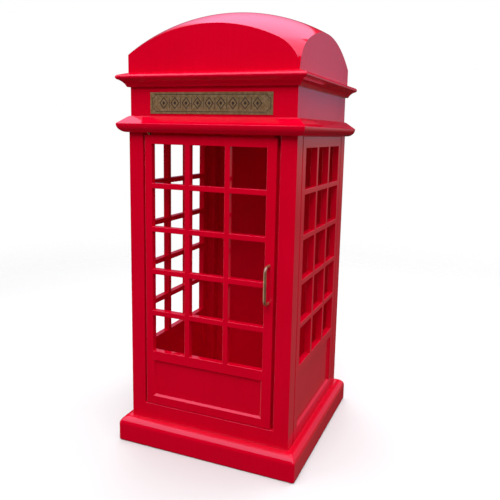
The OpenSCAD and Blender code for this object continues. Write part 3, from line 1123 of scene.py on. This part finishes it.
class BOOTH_OT_roof(bpy.types.Operator):
    """Roof shell and its four arched boards"""

    bl_idname = "booth.roof"
    bl_label = "Roof"

    sheet_steps = 144
    arch_steps = 120

    def execute(self, context):
        roof = Roof()
        self.make_shell(roof)
        for side, word in enumerate(SIDES):
            self.make_board(roof, side, word)
        return {"FINISHED"}

    def make_shell(self, roof):
        """Two square sheets bent to the sphere, joined round their edges."""
        sheets = []
        for rule in (roof.top, roof.underside):
            sheet = bmesh.new()
            steps = self.sheet_steps
            bmesh.ops.create_grid(sheet, x_segments=steps, y_segments=steps, size=roof.half)
            for vert in sheet.verts:
                vert.co.z = rule(vert.co.x, vert.co.y)
            sheets.append(sheet)
        shell = joined(sheets)
        rims = [e for e in shell.edges if e.is_boundary]
        bmesh.ops.bridge_loops(shell, edges=rims)
        bmesh.ops.recalc_face_normals(shell, faces=shell.faces)
        finish_piece("Roof shell", shell, ["roof_dome"], weighted=False)

    def make_board(self, roof, side, word):
        node = "gable_" + word
        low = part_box(node)[0]
        place = side_place(side)
        front_low, front_high = side_box(node, place)
        steps = self.arch_steps
        across = [front_high.x + (front_low.x - front_high.x) * i / steps for i in range(steps + 1)]
        outline = [(front_low.x, low.z), (front_high.x, low.z)]
        for x in across:
            there = place @ Vector((x, 0, 0))
            outline.append((x, max(roof.board_top(there.x, there.y), low.z + roof.thin)))
        bm = bmesh.new()
        face = bm.faces.new([bm.verts.new((x, 0, z)) for x, z in outline])
        made = bmesh.ops.extrude_face_region(bm, geom=[face], use_keep_orig=True)
        moved = [g for g in made["geom"] if isinstance(g, bmesh.types.BMVert)]
        bmesh.ops.translate(bm, vec=(0, front_high.y, 0), verts=moved)
        bmesh.ops.recalc_face_normals(bm, faces=bm.faces)
        saw(bm, (front_high.x, 0, 0), (1, 1, 0))
        saw(bm, (front_low.x, 0, 0), (-1, 1, 0))
        bmesh.ops.transform(bm, matrix=place, verts=bm.verts)
        finish_piece("Roof board " + word, bm, [node])


# ---- Name plate ----------------------------------------------------------------------


def flat_solid(outlines, thickness):
    """A flat solid from nested outlines, each inside one cutting a hole, as a bmesh."""
    curve = bpy.data.curves.new("outlines", "CURVE")
    curve.dimensions = "2D"
    curve.fill_mode = "BOTH"
    curve.extrude = thickness / 2
    for outline in outlines:
        spline = curve.splines.new("POLY")
        spline.points.add(len(outline) - 1)
        spline.use_cyclic_u = True
        for point, (x, y) in zip(spline.points, outline):
            point.co = (x, y, 0, 1)
    holder = bpy.data.objects.new("outlines", curve)
    bpy.context.scene.collection.objects.link(holder)
    bpy.context.view_layer.update()
    mesh = bpy.data.meshes.new_from_object(holder.evaluated_get(bpy.context.evaluated_depsgraph_get()))
    bm = bmesh.new()
    bm.from_mesh(mesh)
    bpy.data.objects.remove(holder)
    bpy.data.curves.remove(curve)
    bpy.data.meshes.remove(mesh)
    bmesh.ops.remove_doubles(bm, verts=bm.verts, dist=WELD)
    return bm


class BOOTH_OT_name_plate(bpy.types.Operator):
    """Brass plate with an engraved border and a row of engraved lozenges"""

    bl_idname = "booth.name_plate"
    bl_label = "Name plate"

    border = 0.005
    line = 0.0017
    scoop = 0.009
    cut = 0.0004
    count = 9
    row = 0.86  # share of the plate's width that the lozenges take up
    line_across = 0.0034  # width of a lozenge's line, measured across the plate
    line_up = 0.0037  # the same, measured up the plate
    bar = 0.0010  # half the width of a bar

    def scooped(self, width, height, inset):
        """Rectangle with hollow corners, the hollows centred on the border's corners."""
        x, y = width / 2 - self.border, height / 2 - self.border
        radius = self.scoop + inset - self.border
        lean = math.degrees(math.asin((inset - self.border) / radius))
        outline = []
        for quarter, (sx, sy) in enumerate(((-1, -1), (1, -1), (1, 1), (-1, 1))):
            start = 90 * quarter + 90 - lean
            outline += arc((sx * x, sy * y), radius, start, start - 90 + 2 * lean, 8)
        return outline

    def lozenge(self, x, half_w, half_h):
        return [(x - half_w, 0), (x, -half_h), (x + half_w, 0), (x, half_h)]

    def oblong(self, x, half_w, half_h):
        return [(x - half_w, -half_h), (x + half_w, -half_h), (x + half_w, half_h), (x - half_w, half_h)]

    def ornament(self, width, height):
        """Open lozenges with a solid one in each, and a bar between each pair."""
        pitch = width * self.row / self.count
        half_w, half_h = pitch * 0.40, height * 0.29
        outlines = []
        for i in range(self.count):
            x = (i - (self.count - 1) / 2) * pitch
            outlines.append(self.lozenge(x, half_w, half_h))
            outlines.append(self.lozenge(x, half_w - self.line_across, half_h - self.line_up))
            outlines.append(self.lozenge(x, pitch * 0.13, height * 0.10))
            if i < self.count - 1:
                outlines.append(self.oblong(x + pitch / 2, self.bar, height * 0.26))
        return outlines

    def execute(self, context):
        low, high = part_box("name_plate")
        size = high - low
        outlines = [
            self.oblong(0, size.x / 2, size.z / 2),
            self.scooped(size.x, size.z, self.border),
            self.scooped(size.x, size.z, self.border + self.line),
        ] + self.ornament(size.x, size.z)
        face = flat_solid(outlines, self.cut)
        middle = (low + high) / 2
        upright = Matrix.Rotation(math.radians(90), 4, "X")
        place = Matrix.Translation((middle.x, low.y + self.cut / 2, middle.z)) @ upright
        bmesh.ops.transform(face, matrix=place, verts=face.verts)
        finish_piece("Name plate", face, ["name_plate"], "Plate brass", weighted=False)
        ground = block((low.x, low.y + self.cut, low.z), high)
        finish_piece("Name plate ground", ground, ["name_plate"], "Engraving")
        return {"FINISHED"}


# ---- Handle --------------------------------------------------------------------------


class BOOTH_OT_handle(bpy.types.Operator):
    """Bow handle bent from one rod"""

    bl_idname = "booth.handle"
    bl_label = "Handle"

    def execute(self, context):
        low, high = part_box("door_handle")
        radius = (high.x - low.x) / 2
        x = (low.x + high.x) / 2
        bend = sizes().handle_bend
        top = high.z - radius
        bottom = low.z + radius
        grip_y = low.y + radius
        bm = bmesh.new()
        bmesh.ops.create_circle(bm, segments=32, radius=radius)
        foot = Matrix.Translation((x, high.y, top)) @ Matrix.Rotation(math.radians(90), 4, "X")
        bmesh.ops.transform(bm, matrix=foot, verts=bm.verts)
        end = bm.edges[:]
        end = self.run(bm, end, Vector((0, grip_y + bend - high.y, 0)))
        end = self.turn(bm, end, (x, grip_y + bend, top - bend))
        end = self.run(bm, end, Vector((0, 0, bottom + bend - (top - bend))))
        end = self.turn(bm, end, (x, grip_y + bend, bottom + bend))
        end = self.run(bm, end, Vector((0, high.y - grip_y - bend, 0)))
        bmesh.ops.holes_fill(bm, edges=[e for e in bm.edges if e.is_boundary], sides=0)
        bmesh.ops.remove_doubles(bm, verts=bm.verts, dist=WELD)
        finish_piece("Handle", bm, ["door_handle"], "Handle brass", weighted=False)
        return {"FINISHED"}

    def run(self, bm, end, along):
        """Carries the rod's open end straight on."""
        made = bmesh.ops.extrude_edge_only(bm, edges=end)["geom"]
        bmesh.ops.translate(bm, vec=along, verts=[g for g in made if isinstance(g, bmesh.types.BMVert)])
        return [g for g in made if isinstance(g, bmesh.types.BMEdge)]

    def turn(self, bm, end, centre):
        """Carries the rod's open end round a quarter bend."""
        geom = end + list({v for e in end for v in e.verts})
        made = bmesh.ops.spin(
            bm, geom=geom, cent=centre, axis=(1, 0, 0), angle=math.radians(90), steps=14
        )["geom_last"]
        return [g for g in made if isinstance(g, bmesh.types.BMEdge)]


# ---- Hidden timber and fixings -------------------------------------------------------


class BOOTH_OT_fixings(bpy.types.Operator):
    """Finishes for the parts that stay as the joinery made them"""

    bl_idname = "booth.fixings"
    bl_label = "Hidden timber and fixings"

    finishes = {
        "Red lacquer": ("floor_board", "ceiling_board"),
        "Bare softwood": ("base_cleats", "roof_base", "roof_blocks"),
        "Turned brass": ("pivot_bushes", "pivot_pins"),
        "Zinc steel": ("carcass_screws", "handle_screws", "strike_discs"),
        "Magnet": ("catch_magnets",),
    }

    def execute(self, context):
        for material, nodes in self.finishes.items():
            for node in nodes:
                mesh = frame["nodes"][node].data
                mesh.materials.clear()
                mesh.materials.append(bpy.data.materials[material])
        return {"FINISHED"}


class BOOTH_OT_finishes(bpy.types.Operator):
    """Shader groups and materials"""

    bl_idname = "booth.finishes"
    bl_label = "Finishes"

    def execute(self, context):
        edge_wear_and_sheen_group()
        lacquer_film_group()
        aged_metal_group()
        wood_grain_group()
        # wear sets how far the arrises are lightened, partly as thin film and partly as a painted highlight.
        lacquer_material("Red lacquer", smooth=0.04, rough=0.10, wear=0.35)
        aged = colours().brass
        for name, patina, rubbing, smooth, rough, metallic, line_depth, coat in (
            ("Plate brass", aged, 0.50, 0.38, 0.62, 0.75, 0.00006, 0.0),
            ("Handle brass", colours().handle_brown, 0.40, 0.16, 0.30, 0.55, 0.00001, 1.0),
            ("Turned brass", aged, 1.00, 0.15, 0.30, 1.00, 0.00001, 0.0),
        ):
            brass_material(name, patina, rubbing, smooth, rough, metallic, line_depth, coat)
        steel_material("Zinc steel", (0.62, 0.63, 0.66), smooth=0.25, rough=0.45)
        steel_material("Magnet", (0.42, 0.42, 0.44), smooth=0.20, rough=0.35)
        wood_material("Bare softwood")
        engraving_material("Engraving")
        return {"FINISHED"}


# ---- Stage ---------------------------------------------------------------------------


class BOOTH_OT_stage(bpy.types.Operator):
    """Pale floor, soft lights and camera"""

    bl_idname = "booth.stage"
    bl_label = "Stage"

    def execute(self, context):
        self.make_floor()
        studio = context.scene.booth_studio
        self.make_world(context.scene, studio)
        for name, place, target, size, power in (
            ("Overhead light", (0.0, 0.5, 2.9), (0.0, 0.3, 0.0), (3.4, 3.6), studio.overhead),
            ("Front light", (0.4, -1.9, 2.7), (0.0, 0.0, 0.5), (1.6, 1.2), studio.front),
            ("Side light", (2.4, 2.6, 1.5), (0.2, 0.0, 0.7), (2.4, 2.4), studio.side),
        ):
            self.make_light(name, place, target, size, power)
        self.make_camera(context.scene, studio)
        context.scene.view_settings.view_transform = "Standard"
        return {"FINISHED"}

    def make_floor(self):
        bm = bmesh.new()
        bmesh.ops.create_circle(bm, cap_ends=True, segments=96, radius=6.0)
        mesh = bpy.data.meshes.new("Floor")
        bm.to_mesh(mesh)
        bm.free()
        floor = bpy.data.objects.new("Floor", mesh)
        bpy.context.scene.collection.objects.link(floor)
        floor.visible_glossy = False
        mesh.materials.append(self.floor_material())

    def floor_material(self):
        """Pale floor that fades out into the backdrop."""
        material, shader, tree = bare_material("Studio floor")
        path = tree.nodes.new("ShaderNodeLightPath")
        bounce = 0.4  # share of its colour that the floor throws onto the booth
        shade = [bounce * c for c in colours().floor]
        seen = blend_colours(tree, path.outputs["Is Camera Ray"], opaque(shade), opaque(colours().floor))
        tree.links.new(seen, shader.inputs["Base Color"])
        shader.inputs["Roughness"].default_value = 0.9
        shader.inputs["Specular IOR Level"].default_value = 0.1
        place = tree.nodes.new("ShaderNodeTexCoord")
        length = tree.nodes.new("ShaderNodeVectorMath")
        length.operation = "LENGTH"
        tree.links.new(place.outputs["Object"], length.inputs[0])
        fade = spread(tree, length.outputs["Value"], 0.9, 3.2, 0.0, 1.0)
        clear = tree.nodes.new("ShaderNodeBsdfTransparent")
        mix = tree.nodes.new("ShaderNodeMixShader")
        output = next(n for n in tree.nodes if n.type == "OUTPUT_MATERIAL")
        tree.links.new(fade, mix.inputs["Fac"])
        tree.links.new(shader.outputs["BSDF"], mix.inputs[1])
        tree.links.new(clear.outputs["BSDF"], mix.inputs[2])
        tree.links.new(mix.outputs["Shader"], output.inputs["Surface"])
        return material

    def mirrored_world(self, tree, studio):
        """Sky behind the booth and overhead, a wall, the ground, and a doorway in front."""
        place = tree.nodes.new("ShaderNodeTexCoord")
        split = tree.nodes.new("ShaderNodeSeparateXYZ")
        tree.links.new(place.outputs["Generated"], split.inputs["Vector"])
        x, y, z = (split.outputs[label] for label in "XYZ")
        behind = spread(tree, y, 0.0, 0.25, 0.0, 1.0)
        roofline = calculate(tree, "ADD", calculate(tree, "MULTIPLY", x, 1.28), 0.637)
        clear_of_roofs = spread(tree, calculate(tree, "SUBTRACT", z, roofline), -0.015, 0.02, 0.0, 1.0)
        slant = calculate(tree, "ADD", x, calculate(tree, "MULTIPLY", y, 0.62))
        clear_of_left = spread(tree, slant, -0.16, -0.05, 0.0, 1.0)
        level = spread(tree, z, 0.20, 0.90, studio.horizon_sky, studio.top_sky)
        sky = calculate(tree, "MULTIPLY", calculate(tree, "MULTIPLY", behind, clear_of_roofs), level)
        sky = calculate(tree, "MULTIPLY", sky, clear_of_left)
        lean = calculate(tree, "SUBTRACT", z, calculate(tree, "MULTIPLY", y, 0.3))
        overhead = spread(tree, lean, 0.66, 0.69, 0.0, studio.top_sky)
        wall_height = spread(tree, z, -0.16, 0.05, 0.16, studio.wall)
        wall = calculate(tree, "MULTIPLY", spread(tree, x, 0.15, 0.30, 0.15, 1.0), wall_height)
        ground = calculate(tree, "MULTIPLY", behind, wall)
        in_front = calculate(tree, "SUBTRACT", 1.0, behind)
        doorway = calculate(tree, "MULTIPLY", spread(tree, x, -0.72, -0.60, 1.3, 0.0), in_front)
        strength = sky
        for region in (overhead, doorway, ground, 0.008):
            strength = calculate(tree, "MAXIMUM", strength, region)
        above = spread(tree, z, -0.05, 0.06, 0.0, 1.0)
        mirrored = tree.nodes.new("ShaderNodeBackground")
        tint = blend_colours(tree, above, (1.0, 0.78, 0.74, 1), opaque(colours().sky))
        tree.links.new(strength, mirrored.inputs["Strength"])
        tree.links.new(tint, mirrored.inputs["Color"])
        return mirrored, z

    def make_world(self, scene, studio):
        """White to the camera, the mirrored world to glossy rays, and dim even light to the rest."""
        world = bpy.data.worlds.new("Studio")
        world.use_nodes = True
        tree = world.node_tree
        tree.nodes.clear()
        mirrored, height = self.mirrored_world(tree, studio)
        ambient = tree.nodes.new("ShaderNodeBackground")
        ambient.inputs["Color"].default_value = (1, 0.98, 0.97, 1)
        tree.links.new(spread(tree, height, -0.1, 0.8, 0.05, 0.8), ambient.inputs["Strength"])
        backdrop = tree.nodes.new("ShaderNodeBackground")
        backdrop.inputs["Color"].default_value = (1, 1, 1, 1)
        path = tree.nodes.new("ShaderNodeLightPath")
        seen = ambient.outputs["Background"]
        for ray, other in (("Is Glossy Ray", mirrored), ("Is Camera Ray", backdrop)):
            mix = tree.nodes.new("ShaderNodeMixShader")
            tree.links.new(path.outputs[ray], mix.inputs["Fac"])
            tree.links.new(seen, mix.inputs[1])
            tree.links.new(other.outputs["Background"], mix.inputs[2])
            seen = mix.outputs["Shader"]
        output = tree.nodes.new("ShaderNodeOutputWorld")
        tree.links.new(seen, output.inputs["Surface"])
        scene.world = world

    def make_light(self, name, place, target, size, power):
        data = bpy.data.lights.new(name, "AREA")
        data.shape = "RECTANGLE"
        data.size, data.size_y = size
        data.energy = power
        light = bpy.data.objects.new(name, data)
        light.location = place
        light.rotation_euler = (Vector(place) - Vector(target)).to_track_quat("Z", "Y").to_euler()
        light.visible_camera = False
        light.visible_glossy = False
        bpy.context.scene.collection.objects.link(light)

    def make_camera(self, scene, studio):
        a, e = studio.azimuth, studio.elevation
        back = Vector((math.sin(a) * math.cos(e), -math.cos(a) * math.cos(e), math.sin(e)))
        data = bpy.data.cameras.new("Camera")
        data.lens = studio.lens
        data.sensor_width = 36.0
        data.shift_x = studio.shift_across
        data.shift_y = studio.shift_up
        camera = bpy.data.objects.new("Camera", data)
        camera.location = studio.station
        camera.rotation_mode = "QUATERNION"
        camera.rotation_quaternion = (-back).to_track_quat("-Z", "Y") @ Quaternion((0, 0, 1), studio.roll)
        scene.collection.objects.link(camera)
        scene.camera = camera


# ---- Panel and registration ----------------------------------------------------------


OPERATORS = (
    BOOTH_OT_finishes,
    BOOTH_OT_plinth,
    BOOTH_OT_posts,
    BOOTH_OT_boards,
    BOOTH_OT_door,
    BOOTH_OT_windows,
    BOOTH_OT_mouldings,
    BOOTH_OT_roof,
    BOOTH_OT_name_plate,
    BOOTH_OT_handle,
    BOOTH_OT_fixings,
    BOOTH_OT_stage,
)


class BOOTH_PT_panel(bpy.types.Panel):
    """Steps that build the booth"""

    bl_idname = "BOOTH_PT_panel"
    bl_label = "Telephone Booth"
    bl_space_type = "VIEW_3D"
    bl_region_type = "UI"
    bl_category = "Booth"

    def draw(self, context):
        for settings in (context.scene.booth_sizes, context.scene.booth_colours, context.scene.booth_studio):
            column = self.layout.column(align=True)
            for name in settings.bl_rna.properties.keys():
                if name not in {"rna_type", "name"}:
                    column.prop(settings, name)
        for operator in OPERATORS:
            self.layout.operator(operator.bl_idname)


CLASSES = (BoothSizes, BoothColours, BoothStudio, *OPERATORS, BOOTH_PT_panel)


def register():
    for cls in CLASSES:
        bpy.utils.register_class(cls)
    bpy.types.Scene.booth_sizes = PointerProperty(type=BoothSizes)
    bpy.types.Scene.booth_colours = PointerProperty(type=BoothColours)
    bpy.types.Scene.booth_studio = PointerProperty(type=BoothStudio)


def unregister():
    del bpy.types.Scene.booth_studio
    del bpy.types.Scene.booth_colours
    del bpy.types.Scene.booth_sizes
    for cls in reversed(CLASSES):
        bpy.utils.unregister_class(cls)


def main():
    register()
    for operator in OPERATORS:
        group, step = operator.bl_idname.split(".")
        getattr(getattr(bpy.ops, group), step)()


if __name__ == "__main__":
    main()
